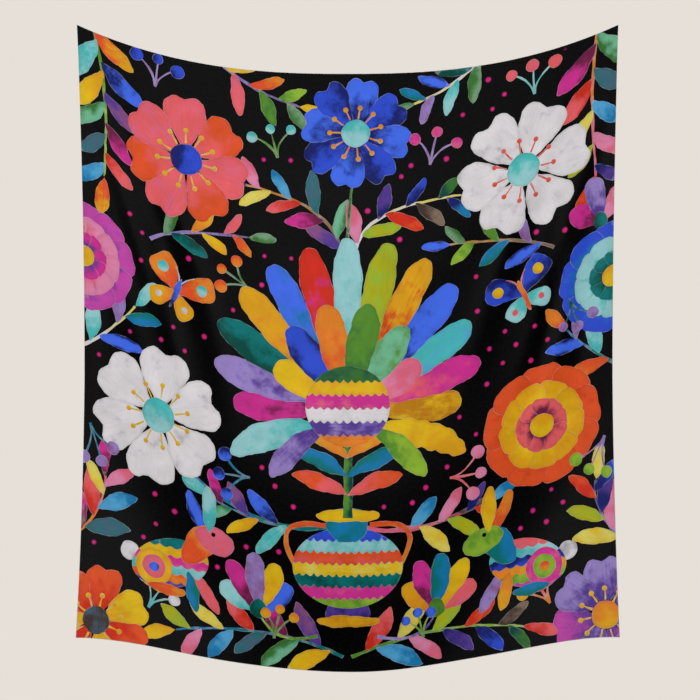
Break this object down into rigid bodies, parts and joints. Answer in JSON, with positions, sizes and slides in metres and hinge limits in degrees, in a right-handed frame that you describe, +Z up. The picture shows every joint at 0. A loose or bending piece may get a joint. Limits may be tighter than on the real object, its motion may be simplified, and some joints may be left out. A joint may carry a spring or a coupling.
{
  "type": "printed cloth wall hanging",
  "caption": "Thin printed cloth hanging, held by its top corners, with a sagging top edge, a bellied bottom edge and soft folds.",
  "frame": {"origin": "middle of the top edge, on the plane that the cloth hangs against", "axes": "+Z up, +Y from the printed face towards the plane behind the cloth, +X to the viewer's right"},
  "size_m": [1.308, 0.0816, 1.563],
  "materials": {
    "printed_polyester": "soft satin woven polyester, printed in many colours on black, white at the back"
  },
  "bodies": {
    "root": {"hanging_cloth": "printed_polyester"}
  },
  "joints": []
}
